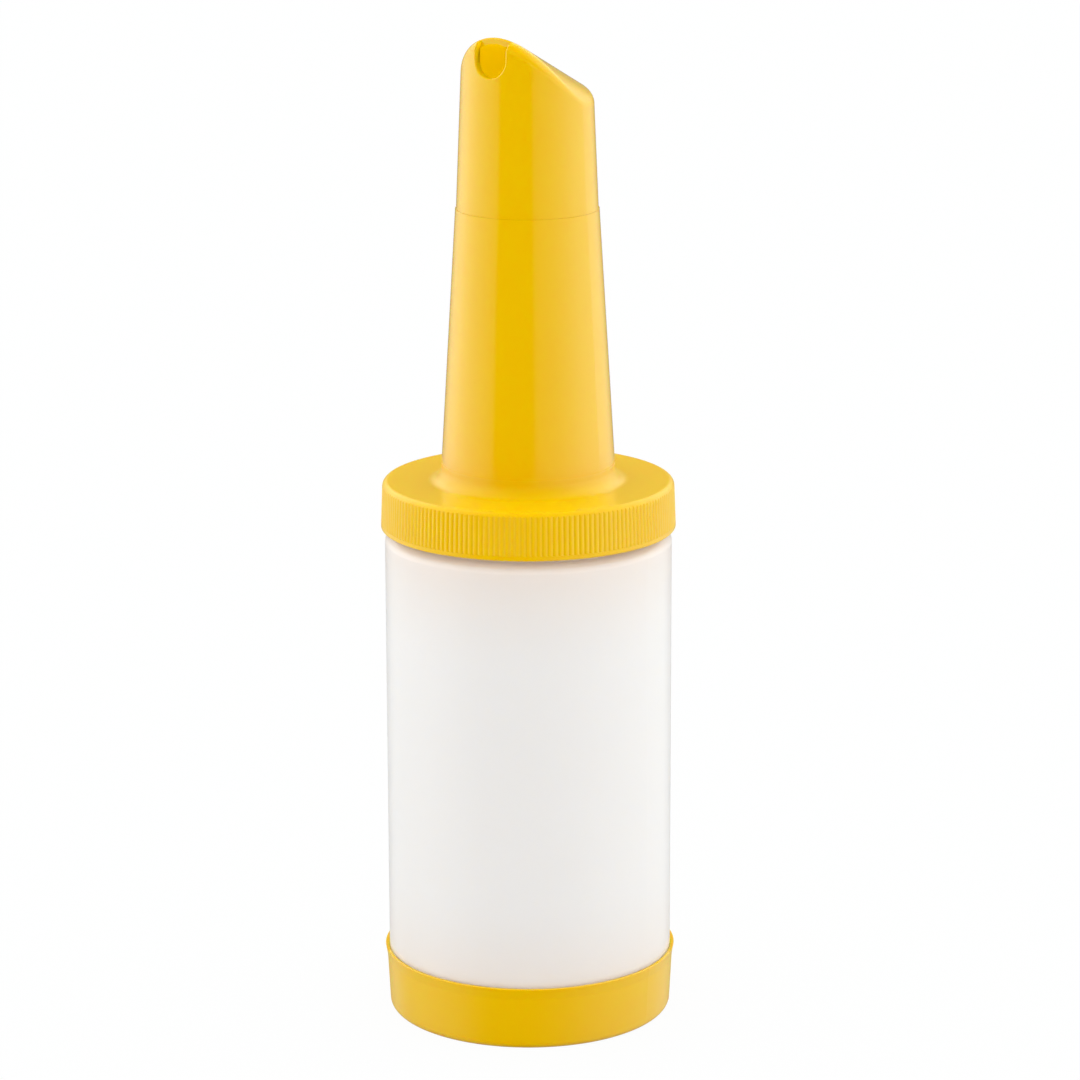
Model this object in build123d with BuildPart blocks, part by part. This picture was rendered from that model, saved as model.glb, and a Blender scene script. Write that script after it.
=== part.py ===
# One-litre pour bottle: a translucent jar that stands in its storage lid, closed by
# a ribbed screw neck that carries a tapered pouring spout.
# Everything is turned about one upright axis. The floor is at height zero, and the
# spout's outlet faces the -Y side.
import os
from math import atan2, cos, hypot, radians, sin, tan

from build123d import *

# Heights, in millimetres, each measured along the upright axis
lid_height = 20.75
lid_floor = 1.8
jar_height = 171.7
seal_thickness = 1.3
cap_plate = 2.2
skirt_height = 15.3
neck_height = 87.8
spout_height = 57.4

# Storage lid under the jar
lid_wall = 1.5
lid_flare_height = 3.4
lid_flare = 0.6
lid_shelf_level = 15.6
lid_shelf_rise = 3.5
lid_rim_wall = 1.0
lid_rim_gap = 0.3
lid_edge_round = 2.2
lid_floor_round = 1.2
lid_draft = 3.0

# Jar
jar_radius = 46.1
jar_wall = 2.2
jar_floor = 2.0
foot_gap = 0.3
foot_round = 2.5
push_up = 1.2
push_up_radius = 33.0
mouth_inset = 2.5
mouth_wall = 1.9
mouth_round = 0.4
mouth_height = 12.9
shoulder_drop = 2.6
shoulder_round = 2.5

# Seal that lies between the jar's rim and the screw cap
seal_overhang = 0.7

# Screw cap and neck, one moulding
thread_room = 1.5
skirt_wall = 2.25
skirt_draft = 2.2
skirt_lip = 1.6
skirt_edge_round = 0.5
cap_corner_round = 2.0
rib_count = 174
rib_groove_width = 1.25
rib_groove_depth = 0.24
neck_foot_radius = 28.1
neck_top_radius = 22.8
neck_wall = 2.0
neck_fillet = 4.5
bore_fillet = 3.0
socket_depth = 16.0
socket_wall = 1.4

# Pouring spout, a plug fit in the neck
seam_step = 0.28
spout_tip_radius = 20.15
spout_wall = 2.0
roof_wall = 2.0
plug_length = 14.0
plug_wall = 1.5
plug_gap = 0.06
plug_lead = 0.6
roof_fall = 25.3
roof_radius = 25.0
roof_edge_round = 3.4
outlet_width = 11.0
outlet_depth = 14.2
outlet_reach = 3.3
outlet_rim_round = 0.5

# Levels worked out from the heights
jar_rim_level = lid_floor + jar_height
plate_level = jar_rim_level + seal_thickness
cap_level = plate_level + cap_plate
skirt_level = cap_level - skirt_height
seam_level = cap_level + neck_height
tip_level = seam_level + spout_height
shoulder_level = jar_rim_level - mouth_height
plug_level = seam_level - plug_length
socket_level = seam_level - socket_depth

# Radii worked out from the fits
lid_rim_bore = jar_radius + lid_rim_gap
lid_rim_radius = lid_rim_bore + lid_rim_wall
lid_flare_level = lid_height - lid_flare_height
lid_flare_radius = lid_rim_radius - lid_flare
lid_radius = lid_flare_radius - lid_flare_level * tan(radians(lid_draft))
lid_bore = lid_radius - lid_wall
lid_step = lid_rim_bore - lid_bore
foot_radius = lid_bore - foot_gap
foot_step = jar_radius - foot_radius
foot_rise = lid_shelf_rise * foot_step / lid_step
jar_bore = jar_radius - jar_wall
mouth_radius = jar_radius - mouth_inset
mouth_bore = mouth_radius - mouth_wall
skirt_bore = mouth_radius + thread_room
skirt_radius = skirt_bore + skirt_wall
skirt_top_radius = skirt_radius - skirt_height * tan(radians(skirt_draft))
seal_bore = mouth_bore - seal_overhang
seal_radius = mouth_radius + seal_overhang
spout_foot_radius = neck_top_radius - seam_step
socket_radius = neck_top_radius - socket_wall
plug_radius = socket_radius - plug_gap
plug_bore = plug_radius - plug_wall


def corner(section, radius, level):
    """The corner of a half section that lies nearest to a radius and a level."""
    return section.vertices().sort_by_distance((radius, level))[0]


def axis_distance(edge):
    """How far the middle of an edge lies from the upright axis."""
    return hypot(edge.center().X, edge.center().Y)


def arched_outline(crest_drop, depth):
    """An upright outline with a round top, which the spout's roof is swept along."""
    arch_radius = roof_radius - crest_drop
    with Locations((0, -roof_radius)):
        Circle(arch_radius)
    with Locations((0, -roof_radius - depth / 2)):
        Rectangle(2 * arch_radius, depth)


# Storage lid: a shallow cup that is pressed on below the jar's foot. Its thin rim
# flares out to clear the full width of the jar above the foot.
with BuildPart() as base_lid:
    with BuildSketch(Plane.XZ) as base_lid_section:
        with BuildLine():
            Polyline(
                (0, 0),
                (lid_radius, 0),
                (lid_flare_radius, lid_flare_level),
                (lid_rim_radius, lid_height),
                (lid_rim_bore, lid_height),
                (lid_rim_bore, lid_shelf_level + lid_shelf_rise),
                (lid_bore, lid_shelf_level),
                (lid_bore, lid_floor),
                (0, lid_floor),
                close=True,
            )
        make_face()
        fillet(corner(base_lid_section, lid_radius, 0), lid_edge_round)
        fillet(corner(base_lid_section, lid_bore, lid_floor), lid_floor_round)
    revolve(axis=Axis.Z)
base_lid.part.label = "base_lid"

# Jar: one blow-moulded wall from the push-up in its bottom to the rim of its mouth.
# The foot is drawn in to stand in the lid, and the mouth is drawn in for the thread.
floor_level = lid_floor + push_up
with BuildPart() as jar:
    with BuildSketch(Plane.XZ) as jar_section:
        with BuildLine():
            Polyline(
                (0, floor_level),
                (push_up_radius, floor_level),
                (push_up_radius + push_up, lid_floor),
                (foot_radius, lid_floor),
                (foot_radius, lid_shelf_level),
                (jar_radius, lid_shelf_level + foot_rise),
                (jar_radius, shoulder_level - shoulder_drop),
                (mouth_radius, shoulder_level),
                (mouth_radius, jar_rim_level),
                (mouth_bore, jar_rim_level),
                (mouth_bore, shoulder_level - jar_wall),
                (jar_bore, shoulder_level - shoulder_drop - jar_wall),
                (jar_bore, lid_shelf_level + foot_rise),
                (foot_radius - jar_wall, lid_shelf_level),
                (foot_radius - jar_wall, floor_level + jar_floor),
                (0, floor_level + jar_floor),
                close=True,
            )
        make_face()
        fillet(corner(jar_section, foot_radius, lid_floor), foot_round)
        fillet(corner(jar_section, foot_radius - jar_wall, floor_level + jar_floor), foot_round)
        fillet(corner(jar_section, jar_radius, shoulder_level - shoulder_drop), shoulder_round)
        fillet(corner(jar_section, mouth_radius, jar_rim_level), mouth_round)
        fillet(corner(jar_section, mouth_bore, jar_rim_level), mouth_round)
    revolve(axis=Axis.Z)
jar.part.label = "jar"

# Seal: a flat ring squeezed between the jar's rim and the underside of the cap plate
with BuildPart() as seal_ring:
    with BuildSketch(Plane.XY.offset(jar_rim_level)):
        Circle(seal_radius)
        Circle(seal_bore, mode=Mode.SUBTRACT)
    extrude(amount=seal_thickness)
seal_ring.part.label = "seal_ring"

# One groove of the grip, two flat sides that meet at its bottom. It leans in with the
# skirt, from above the plain lip until it runs out on the rounded top corner.
lip_radius = skirt_radius - skirt_lip * tan(radians(skirt_draft))
groove_plane = Plane(
    origin=(lip_radius, 0, skirt_level + skirt_lip),
    x_dir=(cos(radians(skirt_draft)), 0, sin(radians(skirt_draft))),
    z_dir=(-sin(radians(skirt_draft)), 0, cos(radians(skirt_draft))),
)
with BuildPart() as grip_groove:
    with BuildSketch(groove_plane):
        with BuildLine():
            Polyline(
                (-rib_groove_depth, 0),
                (rib_groove_depth, rib_groove_width),
                (rib_groove_depth, -rib_groove_width),
                close=True,
            )
        make_face()
    extrude(amount=skirt_height - skirt_lip)

# Neck: the screw cap's skirt and plate run into a tapered neck with a round bore.
# A straight socket at its top holds the spout's plug.
neck_draft = atan2(neck_foot_radius - neck_top_radius, neck_height)
bore_foot_radius = neck_foot_radius - neck_wall
bore_top_radius = bore_foot_radius - (socket_level - plate_level) * tan(neck_draft)
with BuildPart() as neck:
    with BuildSketch(Plane.XZ) as neck_section:
        with BuildLine():
            Polyline(
                (skirt_bore, skirt_level),
                (skirt_radius, skirt_level),
                (skirt_top_radius, cap_level),
                (neck_foot_radius, cap_level),
                (neck_top_radius, seam_level),
                (socket_radius, seam_level),
                (socket_radius, socket_level),
                (bore_top_radius, socket_level),
                (bore_foot_radius, plate_level),
                (skirt_bore, plate_level),
                close=True,
            )
        make_face()
        fillet(corner(neck_section, skirt_top_radius, cap_level), cap_corner_round)
        fillet(corner(neck_section, neck_foot_radius, cap_level), neck_fillet)
        fillet(corner(neck_section, bore_foot_radius, plate_level), bore_fillet)
        fillet(corner(neck_section, skirt_radius, skirt_level), skirt_edge_round)
    revolve(axis=Axis.Z)
    with PolarLocations(0, rib_count):
        add(grip_groove.part, mode=Mode.SUBTRACT)
neck.part.label = "neck"

# Spout chamber: the hollow inside the spout, one tapered core under an arched ceiling
roof_plane = Plane(
    origin=(0, -spout_tip_radius, tip_level),
    x_dir=(-1, 0, 0),
    z_dir=(0, cos(radians(roof_fall)), -sin(radians(roof_fall))),
)
roof_reach = 2 * (spout_height + plug_length)
tip_bore = spout_tip_radius - spout_wall
with BuildPart() as spout_chamber:
    with BuildSketch(Plane.XZ):
        with BuildLine():
            Polyline(
                (0, plug_level),
                (plug_bore, plug_level),
                (tip_bore, tip_level),
                (0, tip_level),
                close=True,
            )
        make_face()
    revolve(axis=Axis.Z)
    with BuildSketch(roof_plane):
        arched_outline(roof_wall, roof_reach)
    extrude(amount=roof_reach, both=True, mode=Mode.INTERSECT)
    fillet(spout_chamber.faces().sort_by(Axis.Z)[-1].outer_wire().edges(), roof_edge_round - roof_wall)

# Spout: a tapered tube whose closed roof is a barrel vault that falls away from the
# outlet. Its foot stands on the neck's rim, and the plug below it fills the socket.
with BuildPart() as spout:
    with BuildSketch(Plane.XZ) as spout_section:
        with BuildLine():
            Polyline(
                (0, plug_level),
                (plug_radius, plug_level),
                (plug_radius, seam_level),
                (spout_foot_radius, seam_level),
                (spout_tip_radius, tip_level),
                (0, tip_level),
                close=True,
            )
        make_face()
        chamfer(corner(spout_section, plug_radius, plug_level), plug_lead)
    revolve(axis=Axis.Z)
    with BuildSketch(roof_plane):
        arched_outline(0, roof_reach)
    extrude(amount=roof_reach, both=True, mode=Mode.INTERSECT)
    fillet(spout.faces().sort_by(Axis.Z)[-1].outer_wire().edges(), roof_edge_round)
    add(spout_chamber.part, mode=Mode.SUBTRACT)
    # Outlet: a slot with a round bottom down through the tall side. It is open at the
    # crest, where it cuts the roof off square, and its outer rim is rounded.
    outlet_round_level = tip_level - outlet_depth + outlet_width / 2
    with BuildSketch(Plane.XZ.offset(spout_tip_radius - outlet_reach)):
        with Locations((0, outlet_round_level)):
            Circle(outlet_width / 2)
        with Locations((0, (tip_level + outlet_round_level) / 2)):
            Rectangle(outlet_width, tip_level - outlet_round_level)
    extrude(amount=spout_foot_radius, mode=Mode.SUBTRACT)
    slot_edges = spout.edges(Select.LAST).filter_by(GeomType.LINE, reverse=True)
    outer_edges = slot_edges.filter_by(lambda edge: axis_distance(edge) > tip_bore + spout_wall / 2)
    side_edges = outer_edges.filter_by(lambda edge: abs(edge.center().X) < outlet_width)
    roof_edge = slot_edges.sort_by(Axis.Z)[-1]
    fillet(side_edges + [roof_edge], outlet_rim_round)
spout.part.label = "spout"

# Written out, one solid in each file
os.makedirs("parts", exist_ok=True)
export_step(base_lid.part, "parts/base_lid.step")
export_step(jar.part, "parts/jar.step")
export_step(seal_ring.part, "parts/seal_ring.step")
export_step(neck.part, "parts/neck.step")
export_step(spout.part, "parts/spout.step")
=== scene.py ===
# %% [markdown]
# # A pour bottle in moulded plastic
#
# The bottle is five plastic mouldings on one upright axis: a storage lid used as a
# foot, a clouded jar, a soft seal, a ribbed screw neck and a pouring spout. The
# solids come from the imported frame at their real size. This file dresses them: it
# gives each plastic its finish, adds the screw threads that the solids leave out,
# and sets the bottle in a bright light tent.

# %% The fixed frame
from math import pi, radians

import bmesh
import bpy
from mathutils import Matrix, Vector


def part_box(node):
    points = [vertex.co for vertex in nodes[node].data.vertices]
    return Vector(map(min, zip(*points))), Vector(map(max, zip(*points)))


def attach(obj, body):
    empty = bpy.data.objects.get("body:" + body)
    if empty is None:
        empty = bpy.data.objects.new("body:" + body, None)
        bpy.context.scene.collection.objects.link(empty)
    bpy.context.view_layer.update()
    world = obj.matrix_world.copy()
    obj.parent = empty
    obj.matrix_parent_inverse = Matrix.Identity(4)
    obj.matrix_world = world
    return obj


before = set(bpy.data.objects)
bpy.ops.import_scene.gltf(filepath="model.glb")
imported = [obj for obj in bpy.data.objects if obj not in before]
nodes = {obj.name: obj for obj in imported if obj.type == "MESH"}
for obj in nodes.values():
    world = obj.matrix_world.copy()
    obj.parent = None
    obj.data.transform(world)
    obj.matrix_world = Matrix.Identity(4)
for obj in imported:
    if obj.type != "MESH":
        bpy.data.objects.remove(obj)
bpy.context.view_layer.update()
# Blender takes metres, and a size below is in millimetres where no comment says otherwise
MM = 0.001

# %% [markdown]
# ## The camera
#
# The bottle was photographed with a long lens from a little above, so its ellipses
# are narrow and its sides hardly converge. A camera could be aimed by a Track To
# constraint, but here its place, tilt and lens were solved from the ellipses of the
# cap and the lid, and one matrix holds them all. The outlet turns to the left of the
# view, which is the same as walking round the bottle to its right.

# %% Camera
VIEW_TURN = radians(35.0)
# Metres
CAMERA_DISTANCE = 1.3041
CAMERA_HEIGHT = 0.49003
CAMERA_SIDE = 0.00371
# Radians
CAMERA_PITCH = 0.25026
CAMERA_ROLL = -0.0027
# Millimetres
SENSOR = 36.0
LENS = 139.5
# Metres
NEAREST_SEEN = 0.05
FURTHEST_SEEN = 20.0

camera_data = bpy.data.cameras.new("camera")
camera_data.sensor_fit = "HORIZONTAL"
camera_data.sensor_width = SENSOR
camera_data.lens = LENS
camera_data.clip_start = NEAREST_SEEN
camera_data.clip_end = FURTHEST_SEEN
camera = bpy.data.objects.new("camera", camera_data)
bpy.context.scene.collection.objects.link(camera)
around = Matrix.Rotation(VIEW_TURN, 4, "Z")
camera.matrix_world = (
    around
    @ Matrix.Translation((CAMERA_SIDE, -CAMERA_DISTANCE, CAMERA_HEIGHT))
    @ Matrix.Rotation(pi / 2 - CAMERA_PITCH, 4, "X")
    @ Matrix.Rotation(CAMERA_ROLL, 4, "Z")
)
bpy.context.scene.camera = camera
print("camera stands at", [round(v, 3) for v in camera.location])

# %% [markdown]
# ## Three helpers
#
# Colours are picked as sRGB hex, the way a paint program shows them, but the
# renderer adds up light in linear values. One function turns the first into the
# second. Another adds a shader node with its settings, its links and, on a colour
# ramp, its stops, so that each material below reads as a short recipe. The last one
# starts a material on the Principled shader, which suits each of the plastics here.


# %% Colours, nodes and materials
def linear(hex_colour):
    """The linear colour, with full alpha, of an sRGB hex value such as '#E8B400'."""
    parts = [int(hex_colour[i:i + 2], 16) / 255 for i in (1, 3, 5)]
    return [p / 12.92 if p <= 0.04045 else ((p + 0.055) / 1.055) ** 2.4 for p in parts] + [1.0]


def add_node(tree, kind, settings=None, inputs=None, stops=()):
    """A node with its settings, each input set or linked, and each stop of a colour ramp."""
    node = tree.nodes.new(kind)
    for name, value in (settings or {}).items():
        setattr(node, name, value)
    for name, value in (inputs or {}).items():
        if isinstance(value, bpy.types.NodeSocket):
            tree.links.new(value, node.inputs[name])
        else:
            node.inputs[name].default_value = value
    if stops:
        points = node.color_ramp.elements
        while len(points) < len(stops):
            points.new(0.5)
        for point, (place, colour) in zip(points, stops):
            point.position = place
            point.color = colour
    return node


def new_material(name):
    """A material, its node tree and the Principled shader in it."""
    material = bpy.data.materials.new(name)
    material.use_nodes = True
    return material, material.node_tree, material.node_tree.nodes["Principled BSDF"]


print("half-bright #808080 in linear light:", round(linear("#808080")[0], 3))

# %% [markdown]
# ## Yellow polypropylene
#
# The lid, neck and spout are injection-moulded polypropylene in a strong warm
# yellow. The tapered walls were pressed against polished steel, so they reflect the
# studio in clear stripes, while the screw cap and the lid have a satin skin.
#
# Paint could be imitated by one plain colour under a gloss, but polypropylene lets
# light in, red and green further than blue. That is why the fine ribs have no black
# grooves and why the inside of the spout glows orange: light comes through its
# two-millimetre wall. So the shader scatters light below the surface, a little on
# the outside faces and much deeper on the inside ones, where the light arrives from
# the far side of the wall, and the inside faces also get a painted glow, a deeper
# orange colour. The colour drifts by a shade over tens of millimetres, where the melt flowed.

# %% Colours, polish and depths of the yellow
YELLOW = "#E9BD04"
YELLOW_DEEP = "#E7B802"
# Deeper orange of the inside faces: a painted glow of the light that comes through the wall
YELLOW_INSIDE_PAINTED_GLOW = "#E9A404"
# Distance over which the shade drifts
FLOW_MARK = 38.0
# Roughness from the freshest polish to the most handled one, and of the satin skin
POLISH = (0.08, 0.14)
SATIN = 0.3
# Height at which satin starts to turn into polish, and over how much it does
CAP_TOP = 182.0
CAP_FADE = 6.0
# Millimetres that red light travels below the skin, and the shares of red, green and blue
OUTSIDE_SCATTER = 0.8
SEAM_SCATTER = 0.1
INSIDE_SCATTER = 25.0
SCATTER_SHARES = (1.0, 0.6, 0.15)
POLYPROPYLENE_IOR = 1.49
print("yellow drifts from", YELLOW, "to", YELLOW_DEEP, "and is", YELLOW_INSIDE_PAINTED_GLOW, "inside")

# %% [markdown]
# ### Inside and outside
#
# The shader has to know the inside of a hollow piece from its outside. Two materials
# could be put on two sets of faces, but a solid's faces come unsorted. The direction
# of a face tells as much: an inside face looks towards a core on the axis, and an
# outside face looks away from it.

# %% Inside and outside
# Half the width over which inside turns into outside, on faces seen edge-on from the core
EDGE_FADE = 0.5


def outside_share(tree, where, core_level):
    """A socket that is one on outside faces and nought on inside ones."""
    from_core = add_node(tree, "ShaderNodeVectorMath", {"operation": "SUBTRACT"}, {
        0: where["Object"], 1: (0, 0, core_level * MM)}).outputs[0]
    outward = add_node(tree, "ShaderNodeVectorMath", {"operation": "DOT_PRODUCT"}, {
        0: from_core, 1: where["Normal"]}).outputs["Value"]
    return add_node(tree, "ShaderNodeMapRange", inputs={
        "Value": outward, "From Min": -EDGE_FADE * MM, "From Max": EDGE_FADE * MM}).outputs["Result"]


# %% [markdown]
# ### The yellow recipe
#
# The drift of the melt gives the shade, the height gives the polish, and the side of
# the wall gives the depth of the scatter. The inside faces are also painted a deeper
# orange, a painted glow of the light that comes through the wall. Where the spout
# and the neck meet, deep scatter would end on their hidden faces and draw a dark
# line, so the polished walls get only a tenth of a millimetre of it.


# %% The yellow recipe
def moulded_yellow_polypropylene(name, core_level):
    """Yellow polypropylene for a hollow piece around a core point at a level on the axis."""
    material, tree, skin = new_material(name)
    where = add_node(tree, "ShaderNodeTexCoord").outputs
    flow = add_node(tree, "ShaderNodeTexNoise", inputs={
        "Vector": where["Object"], "Scale": 1 / (FLOW_MARK * MM), "Detail": 1.0}).outputs["Fac"]
    shade = add_node(tree, "ShaderNodeMix", {"data_type": "RGBA"}, {
        0: flow, 6: linear(YELLOW), 7: linear(YELLOW_DEEP)}).outputs[2]
    outside = outside_share(tree, where, core_level)
    # The inside faces are painted a deeper orange, a painted glow that stands in for light come through the
    # wall
    colour = add_node(tree, "ShaderNodeMix", {"data_type": "RGBA"}, {
        0: outside, 6: linear(YELLOW_INSIDE_PAINTED_GLOW), 7: shade}).outputs[2]
    tree.links.new(colour, skin.inputs["Base Color"])

    level = add_node(tree, "ShaderNodeSeparateXYZ", inputs={"Vector": where["Object"]}).outputs["Z"]
    above_cap = add_node(tree, "ShaderNodeMapRange", inputs={
        "Value": level, "From Min": CAP_TOP * MM, "From Max": (CAP_TOP + CAP_FADE) * MM}).outputs["Result"]
    polish = add_node(tree, "ShaderNodeMapRange", inputs={
        "Value": flow, "To Min": POLISH[0], "To Max": POLISH[1]}).outputs["Result"]
    gloss = add_node(tree, "ShaderNodeMapRange", inputs={
        "Value": above_cap, "To Min": SATIN, "To Max": polish}).outputs["Result"]
    tree.links.new(gloss, skin.inputs["Roughness"])

    skin_depth = add_node(tree, "ShaderNodeMapRange", inputs={
        "Value": above_cap, "To Min": OUTSIDE_SCATTER * MM, "To Max": SEAM_SCATTER * MM}).outputs["Result"]
    depth = add_node(tree, "ShaderNodeMapRange", inputs={
        "Value": outside, "To Min": INSIDE_SCATTER * MM, "To Max": skin_depth}).outputs["Result"]
    tree.links.new(depth, skin.inputs["Subsurface Scale"])
    skin.inputs["Subsurface Weight"].default_value = 1.0
    skin.inputs["Subsurface Radius"].default_value = SCATTER_SHARES
    skin.inputs["IOR"].default_value = POLYPROPYLENE_IOR
    return material


# %% [markdown]
# ## Clouded polyethylene
#
# The jar is natural polyethylene with no pigment. Its tiny crystals scatter light,
# so a wall two millimetres thick looks like milk glass: nothing shows sharply
# through it, but light passes, and the yellow of the cap and lid glows some
# centimetres into it. A volume inside the wall would be the true way to make it, but
# it takes many times the samples to come clean. The shader mixes a scatter below the
# surface with a little rough transmission instead, and the glow of the yellow is a
# painted glow in the milk's colour.

# %% Colours, satin and depth of the milk
MILK = "#FAEDEB"
# Milk painted warmer next to the yellow pieces: a painted glow of their light
MILK_PAINTED_GLOW = "#F6E2D9"
# How far the painted glow of the cap and the lid reaches into the jar
PAINTED_GLOW_REACH = 50.0
# Width of a clouded patch
CLOUD = 25.0
# Roughness from the smoothest to the dullest patch
MILK_SATIN = (0.26, 0.34)
# Millimetres that red light travels below the skin, and the shares of red, green and blue
MILK_DEPTH = 3.0
MILK_SHARES = (1.0, 0.95, 0.85)
# Shares of the light that scatters below the skin and that passes straight through
MILK_SCATTERED = 0.8
MILK_PASSED = 0.1
POLYETHYLENE_IOR = 1.51
print("milk is", MILK, "and turns", MILK_PAINTED_GLOW, "towards the yellow pieces")

# %% [markdown]
# ### The clouded recipe
#
# Patches of cloud give the satin. The colour carries a painted glow that follows the
# height: it is painted warmest at the jar's two ends, where the yellow pieces are, and
# fades towards the middle. It stands in for the yellow light that a real wall carries
# by itself, which the shader's thin scatter doesn't carry far enough.


# %% The clouded recipe
def clouded_polyethylene():
    """Unpigmented polyethylene, milky and softly translucent."""
    material, tree, skin = new_material("clouded_polyethylene")
    where = add_node(tree, "ShaderNodeTexCoord").outputs["Object"]
    cloud = add_node(tree, "ShaderNodeTexNoise", inputs={
        "Vector": where, "Scale": 1 / (CLOUD * MM), "Detail": 2.0}).outputs["Fac"]
    gloss = add_node(tree, "ShaderNodeMapRange", inputs={
        "Value": cloud, "To Min": MILK_SATIN[0], "To Max": MILK_SATIN[1]}).outputs["Result"]
    tree.links.new(gloss, skin.inputs["Roughness"])

    level = add_node(tree, "ShaderNodeSeparateXYZ", inputs={"Vector": where}).outputs["Z"]
    low, high = (corner[2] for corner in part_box("jar"))
    along = add_node(tree, "ShaderNodeMapRange", inputs={
        "Value": level, "From Min": low, "From Max": high}).outputs["Result"]
    reach = PAINTED_GLOW_REACH * MM / (high - low)
    # Painted glow: the milk is painted warmer towards both ends, for the yellow light that the wall carries
    # from the cap and the lid
    painted_glow_ramp = add_node(tree, "ShaderNodeValToRGB", inputs={"Fac": along}, stops=[
        (0, linear(MILK_PAINTED_GLOW)), (reach, linear(MILK)),
        (1 - reach, linear(MILK)), (1, linear(MILK_PAINTED_GLOW))])
    painted_glow_ramp.color_ramp.interpolation = "EASE"
    tree.links.new(painted_glow_ramp.outputs["Color"], skin.inputs["Base Color"])

    skin.inputs["IOR"].default_value = POLYETHYLENE_IOR
    skin.inputs["Transmission Weight"].default_value = MILK_PASSED
    skin.inputs["Subsurface Weight"].default_value = MILK_SCATTERED
    skin.inputs["Subsurface Radius"].default_value = MILK_SHARES
    skin.inputs["Subsurface Scale"].default_value = MILK_DEPTH * MM
    return material


# %% [markdown]
# ## Foam liner
#
# The seal is cut from a sheet of closed-cell polyethylene foam: white, matt and a
# little pitted, with cells of about a third of a millimetre. Pits that small could
# be cut into the mesh, but a bump shades them as well at this distance, and the seal
# only shows from close by when the neck is off.

# %% Foam liner
FOAM = "#EFEEE8"
FOAM_CELL = 0.35
FOAM_PIT = 0.1
FOAM_PIT_STRENGTH = 0.3
FOAM_ROUGHNESS = 0.8


def white_foam_liner():
    """Closed-cell white foam, cut from a sheet."""
    material, tree, skin = new_material("white_foam_liner")
    where = add_node(tree, "ShaderNodeTexCoord").outputs["Object"]
    cells = add_node(tree, "ShaderNodeTexVoronoi", inputs={
        "Vector": where, "Scale": 1 / (FOAM_CELL * MM)}).outputs["Distance"]
    pits = add_node(tree, "ShaderNodeBump", inputs={
        "Height": cells, "Strength": FOAM_PIT_STRENGTH, "Distance": FOAM_PIT * MM}).outputs["Normal"]
    tree.links.new(pits, skin.inputs["Normal"])
    skin.inputs["Base Color"].default_value = linear(FOAM)
    skin.inputs["Roughness"].default_value = FOAM_ROUGHNESS
    return material


# %% [markdown]
# ## Finishes on the solids
#
# Each solid gets one finish. The three yellow pieces share a recipe but not a
# material, because the core that tells inside from outside lies at another height
# in each of them: just above the lid's floor, under the cap's plate, and in the
# spout's chamber.

# %% Finishes on the solids
LID_CORE = 10.0
NECK_CORE = 170.0
SPOUT_CORE = 285.0

yellow_neck = moulded_yellow_polypropylene("moulded_yellow_polypropylene_neck", NECK_CORE)
milk = clouded_polyethylene()
finish_of = {
    "base_lid": moulded_yellow_polypropylene("moulded_yellow_polypropylene_lid", LID_CORE),
    "neck": yellow_neck,
    "spout": moulded_yellow_polypropylene("moulded_yellow_polypropylene_spout", SPOUT_CORE),
    "jar": milk,
    "seal_ring": white_foam_liner(),
}
for name, finish in finish_of.items():
    mesh = nodes[name].data
    mesh.materials.clear()
    mesh.materials.append(finish)
    print(name, len(mesh.polygons), "faces in", finish.name)

# %% [markdown]
# ## Screw threads
#
# The jar's mouth carries a coarse right-hand thread, one and a quarter turns at a
# pitch of five millimetres. The cap carries its partner on the bore of its skirt.
# The solids leave both out, because their collision would be made of needless
# slivers, so they are two pieces of this scene. Each ridge is a low, flat-topped
# wedge, as is usual on blow-moulded mouths, and its root lies a little way inside
# the wall, so that no gap shows.

# %% Sizes of the threads
THREAD_PITCH = 5.0
THREAD_TURNS = 1.25
THREAD_STEPS = 90
RIDGE_ROOT = 2.3
RIDGE_CREST = 0.9
RIDGE_HEIGHT = 1.0
RIDGE_BED = 0.05
THREAD_LEVEL = 163.4
MOUTH_RADIUS = 43.6
SKIRT_BORE = 45.1
print("each thread climbs", THREAD_PITCH * THREAD_TURNS, "mm")

# %% [markdown]
# ### Winding a ridge
#
# A Screw modifier could wind such a ridge too. Here one section is spun up a helix
# by the spin operator, which leaves the two end sections at hand. The crest of each
# end then sinks back to the wall, as the cutter leaves it in the mould.


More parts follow.
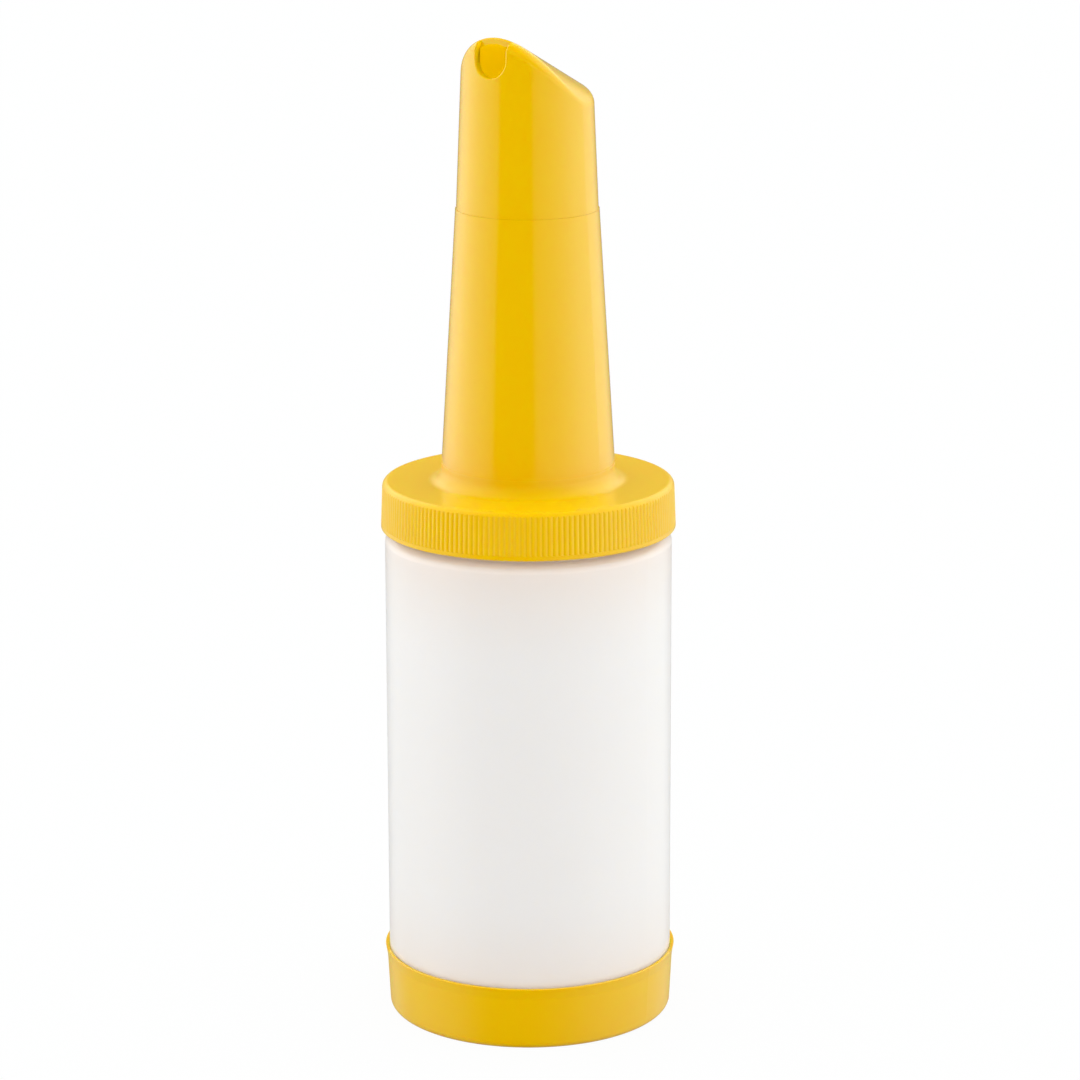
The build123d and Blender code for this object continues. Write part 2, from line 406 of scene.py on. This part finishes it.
# %% Winding a ridge
def thread_ridge(name, wall_radius, outward, start_angle, material, rider):
    """A helical ridge on a round wall, pointing outwards or inwards, from an angle upwards."""
    root = wall_radius - outward * RIDGE_BED
    crest = wall_radius + outward * RIDGE_HEIGHT
    outline = [
        (root, -RIDGE_ROOT / 2), (crest, -RIDGE_CREST / 2), (crest, RIDGE_CREST / 2), (root, RIDGE_ROOT / 2)]
    shape = bmesh.new()
    corners = [shape.verts.new((radius * MM, 0, (THREAD_LEVEL + rise) * MM)) for radius, rise in outline]
    first_tips = corners[1:3]
    section = shape.faces.new(corners)
    climb = Vector((0, 0, THREAD_PITCH * THREAD_TURNS / THREAD_STEPS * MM))
    spun = bmesh.ops.spin(
        shape, geom=corners + list(section.edges) + [section], axis=(0, 0, 1), cent=(0, 0, 0),
        dvec=climb, angle=2 * pi * THREAD_TURNS, steps=THREAD_STEPS)
    last = [part for part in spun["geom_last"] if isinstance(part, bmesh.types.BMVert)]
    last_tips = sorted(last, key=lambda corner: outward * corner.co.xy.length)[2:]
    sink = Matrix.Diagonal((root / crest, root / crest, 1))
    bmesh.ops.transform(shape, matrix=sink.to_4x4(), verts=first_tips + last_tips)
    bmesh.ops.rotate(shape, matrix=Matrix.Rotation(start_angle, 3, "Z"), verts=shape.verts[:])
    bmesh.ops.recalc_face_normals(shape, faces=shape.faces[:])
    mesh = bpy.data.meshes.new(name)
    shape.to_mesh(mesh)
    shape.free()
    mesh.materials.append(material)
    mesh.polygons.foreach_set("use_smooth", [False] * len(mesh.polygons))
    ridge = bpy.data.objects.new(name, mesh)
    bpy.context.scene.collection.objects.link(ridge)
    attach(ridge, rider)
    print(name, len(mesh.polygons), "faces")


# %% [markdown]
# ### The two threads
#
# Both threads start at the same height. The cap's starts half a turn further round
# and so runs half a pitch from the jar's, with its flanks between the jar's flanks.
# One rides with the jar and the other with the neck.

# %% The two threads
thread_ridge("jar_thread", MOUTH_RADIUS, 1, 0, milk, "jar")
thread_ridge("cap_thread", SKIRT_BORE, -1, pi, yellow_neck, "neck")

# %% [markdown]
# ## The light tent
#
# A glossy cylinder shows its whole surroundings as upright stripes. In the
# photograph the walls to the left and right glow and grow brighter away from the
# camera, the side where the camera looks in is dark, and so is the gap straight
# behind. Area lamps and white cards could stand there, but their edges would have to
# be moved for every stripe. A world shader paints the same tent on the sky: three
# rings of brightness, one each for the foot, the walls and the top of the tent,
# dimmed together towards the zenith.
#
# The three kinds of ray see three things. Gloss sees the tent. Matt faces see an
# even light with a share of the walls and the ceiling, so that colours render about
# as they are written. The camera, and rays that pass through the jar, see white.

# %% Brightness round the tent
TENT_PEAK = 2.0
# Degrees round from the camera, to the right of the picture, and the wall's share of the peak
TENT_WALLS = [
    (-180, 0.12), (-160, 0.18), (-140, 0.66), (-120, 1.0), (-100, 0.92), (-60, 0.4), (-49, 0.22), (-46, 0.0),
    (7, 0.0), (12, 0.18), (40, 0.38), (80, 0.85), (120, 0.93), (140, 0.6), (158, 0.18), (180, 0.12),
]
# The same well below the horizon
TENT_FOOT = [
    (-180, 0.12), (-160, 0.2), (-140, 0.5), (-120, 0.3), (-100, 0.42), (-80, 0.43), (-49, 0.2), (-45, 0.0),
    (10, 0.0), (40, 0.14), (46, 0.3), (80, 0.52), (140, 0.58), (160, 0.25), (180, 0.12),
]
# The same high on the walls, where the gap behind closes
TENT_TOP = [
    (-180, 0.08), (-173, 0.16), (-165, 0.6), (-155, 0.95), (-110, 0.85), (-60, 0.45), (-46, 0.04),
    (40, 0.04), (60, 0.45), (110, 0.9), (155, 0.9), (165, 0.6), (173, 0.16), (180, 0.08),
]
# Sine of the height above the horizon, with the share of the rings' light there
TENT_HEIGHTS = [(-1.0, 0.5), (-0.14, 1.0), (0.6, 1.0), (0.92, 0.2), (1.0, 0.1)]
# The same, with the share of the walls over the foot, of the top over the walls, and of the ceiling
FOOT_TO_WALLS = [(-0.3, 0.0), (-0.16, 1.0)]
WALLS_TO_TOP = [(0.12, 0.0), (0.34, 1.0)]
CEILING = [(0.2, 0.0), (0.75, 1.0)]
# Matt light in red, green and blue: an even part, what the walls add and what the ceiling adds
EVEN_LIGHT = (1.09, 1.02, 1.01)
WALL_LIGHT = (0.17, 0.21, 0.2)
CEILING_LIGHT = (0.3, 0.52, 0.54)
BACKDROP = "#FFFFFF"
print("tent's rings have", [len(ring) for ring in (TENT_FOOT, TENT_WALLS, TENT_TOP)], "stops")

# %% [markdown]
# ### Which way a ray goes
#
# A world shader is asked for light once for each ray and is told the ray's
# direction. Two dot products and an arctangent turn that into degrees round from the
# camera, and its upright part is the sine of its height. Both are stretched over the
# range from nought to one, which is what a colour ramp reads.

# %% Which way a ray goes
world = bpy.data.worlds.new("light_tent")
bpy.context.scene.world = world
# The tent has no small bright spots that rays would have to be aimed at
world.cycles.sampling_method = "NONE"
world.use_nodes = True
tree = world.node_tree
tree.nodes.clear()
way = add_node(tree, "ShaderNodeTexCoord").outputs["Generated"]
to_right, to_camera = (
    add_node(tree, "ShaderNodeVectorMath", {"operation": "DOT_PRODUCT"}, {
        0: way, 1: around @ Vector(side)}).outputs["Value"]
    for side in ((1, 0, 0), (0, -1, 0)))
turn = add_node(tree, "ShaderNodeMath", {"operation": "ARCTAN2"}, {0: to_right, 1: to_camera}).outputs[0]
degrees_turned = add_node(tree, "ShaderNodeMath", {"operation": "DEGREES"}, {0: turn}).outputs[0]
turn_share = add_node(tree, "ShaderNodeMapRange", inputs={
    "Value": degrees_turned, "From Min": -180, "From Max": 180}).outputs["Result"]
height = add_node(tree, "ShaderNodeSeparateXYZ", inputs={"Vector": way}).outputs["Z"]
height_share = add_node(tree, "ShaderNodeMapRange", inputs={
    "Value": height, "From Min": -1, "From Max": 1}).outputs["Result"]
print("a ray's direction takes", len(tree.nodes), "nodes")

# %% [markdown]
# ### The tent that gloss sees
#
# Each ring is one ramp over the degrees, and each fade is one over the height, with
# stops that a small function makes of plain brightnesses. The rings are mixed from
# the foot upwards, dimmed towards the zenith, and lifted to the tent's peak, which is
# brighter than white so that its stripes show on the yellow.


# %% The tent that gloss sees
def grey_stops(brightnesses, low, high):
    """Stops for a ramp over the range from low to high, with a grey of each brightness."""
    return [((at - low) / (high - low), (grey, grey, grey, 1)) for at, grey in brightnesses]


foot, walls, top = (
    add_node(tree, "ShaderNodeValToRGB", inputs={"Fac": turn_share},
             stops=grey_stops(ring, -180, 180)).outputs[0]
    for ring in (TENT_FOOT, TENT_WALLS, TENT_TOP))
dimming, above_foot, into_top, ceiling = (
    add_node(tree, "ShaderNodeValToRGB", inputs={"Fac": height_share},
             stops=grey_stops(fade, -1, 1)).outputs[0]
    for fade in (TENT_HEIGHTS, FOOT_TO_WALLS, WALLS_TO_TOP, CEILING))
lower_rings = add_node(tree, "ShaderNodeMix", {"data_type": "FLOAT"}, {
    0: above_foot, 2: foot, 3: walls}).outputs[0]
rings = add_node(tree, "ShaderNodeMix", {"data_type": "FLOAT"}, {
    0: into_top, 2: lower_rings, 3: top}).outputs[0]
dimmed = add_node(tree, "ShaderNodeMath", {"operation": "MULTIPLY"}, {0: rings, 1: dimming}).outputs[0]
tent = add_node(tree, "ShaderNodeMath", {"operation": "MULTIPLY"}, {0: dimmed, 1: TENT_PEAK}).outputs[0]
print("brightest stop of the walls:", TENT_PEAK * max(share for angle, share in TENT_WALLS))

# %% [markdown]
# ### One light for each kind of ray
#
# Three worlds can't be lit at once, but the Light Path node tells which kind of ray
# is asking. Matt light is the even part with shares of the walls and the ceiling on
# top. Gloss gets the tent, and the camera and the rays through the jar get white.

# %% One light for each kind of ray
with_walls = add_node(tree, "ShaderNodeVectorMath", {"operation": "MULTIPLY_ADD"}, {
    0: tent, 1: WALL_LIGHT, 2: EVEN_LIGHT}).outputs[0]
with_ceiling = add_node(tree, "ShaderNodeVectorMath", {"operation": "MULTIPLY_ADD"}, {
    0: ceiling, 1: CEILING_LIGHT, 2: with_walls}).outputs[0]
rays = add_node(tree, "ShaderNodeLightPath").outputs
lit = add_node(tree, "ShaderNodeMix", {"data_type": "RGBA"}, {
    0: rays["Is Glossy Ray"], 6: with_ceiling, 7: tent}).outputs[2]
looked_through = add_node(tree, "ShaderNodeMath", {"operation": "MAXIMUM"}, {
    0: rays["Is Camera Ray"], 1: rays["Is Transmission Ray"]}).outputs[0]
light = add_node(tree, "ShaderNodeMix", {"data_type": "RGBA"}, {
    0: looked_through, 6: lit, 7: linear(BACKDROP)}).outputs[2]
glow = add_node(tree, "ShaderNodeBackground", inputs={"Color": light, "Strength": 1.0}).outputs[0]
add_node(tree, "ShaderNodeOutputWorld", inputs={"Surface": glow})
print("light tent:", len(tree.nodes), "nodes")

# %% [markdown]
# ## The floor
#
# The bottle stands on white paper. A shadow catcher would give the shadow alone, but
# the paper also has to light the lid and the skirt from below, so it is a plain
# disc. The gloss doesn't see it, so that the low storage lid reflects the tent's
# walls, as the rest of the bottle does.

# %% Paper disc
# Metres
FLOOR_RADIUS = 6.0
FLOOR_CORNERS = 96

shape = bmesh.new()
bmesh.ops.create_circle(shape, cap_ends=True, segments=FLOOR_CORNERS, radius=FLOOR_RADIUS)
floor_mesh = bpy.data.meshes.new("floor")
shape.to_mesh(floor_mesh)
shape.free()
floor = bpy.data.objects.new("floor", floor_mesh)
bpy.context.scene.collection.objects.link(floor)
floor.visible_glossy = False
print("floor:", 2 * FLOOR_RADIUS, "m across")

# %% [markdown]
# ### White paper
#
# In the photograph the paper is almost burnt out, with a trace of the bottle's shadow
# left. More light would burn out the bottle too. So the camera sees a paper that is
# mostly plain white, and every other ray finds a matt sheet that throws light back.

# %% White paper
PAPER = "#D2D2D0"
# Share of the paper that looks burnt out
FLOOR_GLOW = 0.96

paper = bpy.data.materials.new("white_paper")
paper.use_nodes = True
tree = paper.node_tree
tree.nodes.clear()
rays = add_node(tree, "ShaderNodeLightPath").outputs
seen = add_node(tree, "ShaderNodeMath", {"operation": "MAXIMUM"}, {
    0: rays["Is Camera Ray"], 1: rays["Is Transmission Ray"]}).outputs[0]
burnt_share = add_node(tree, "ShaderNodeMath", {"operation": "MULTIPLY"}, {0: seen, 1: FLOOR_GLOW}).outputs[0]
matt = add_node(tree, "ShaderNodeBsdfDiffuse", inputs={"Color": linear(PAPER)}).outputs[0]
burnt_out = add_node(tree, "ShaderNodeEmission", inputs={"Strength": 1.0}).outputs[0]
both = add_node(tree, "ShaderNodeMixShader", inputs={0: burnt_share, 1: matt, 2: burnt_out}).outputs[0]
add_node(tree, "ShaderNodeOutputMaterial", inputs={"Surface": both})
floor_mesh.materials.append(paper)
print("white paper:", len(tree.nodes), "nodes")

# %% [markdown]
# ## The look
#
# The Standard view shows the colours as they are, where a film-like view would turn
# the strong yellow pale.

# %% The look
bpy.context.scene.view_settings.view_transform = "Standard"
bpy.context.view_layer.update()
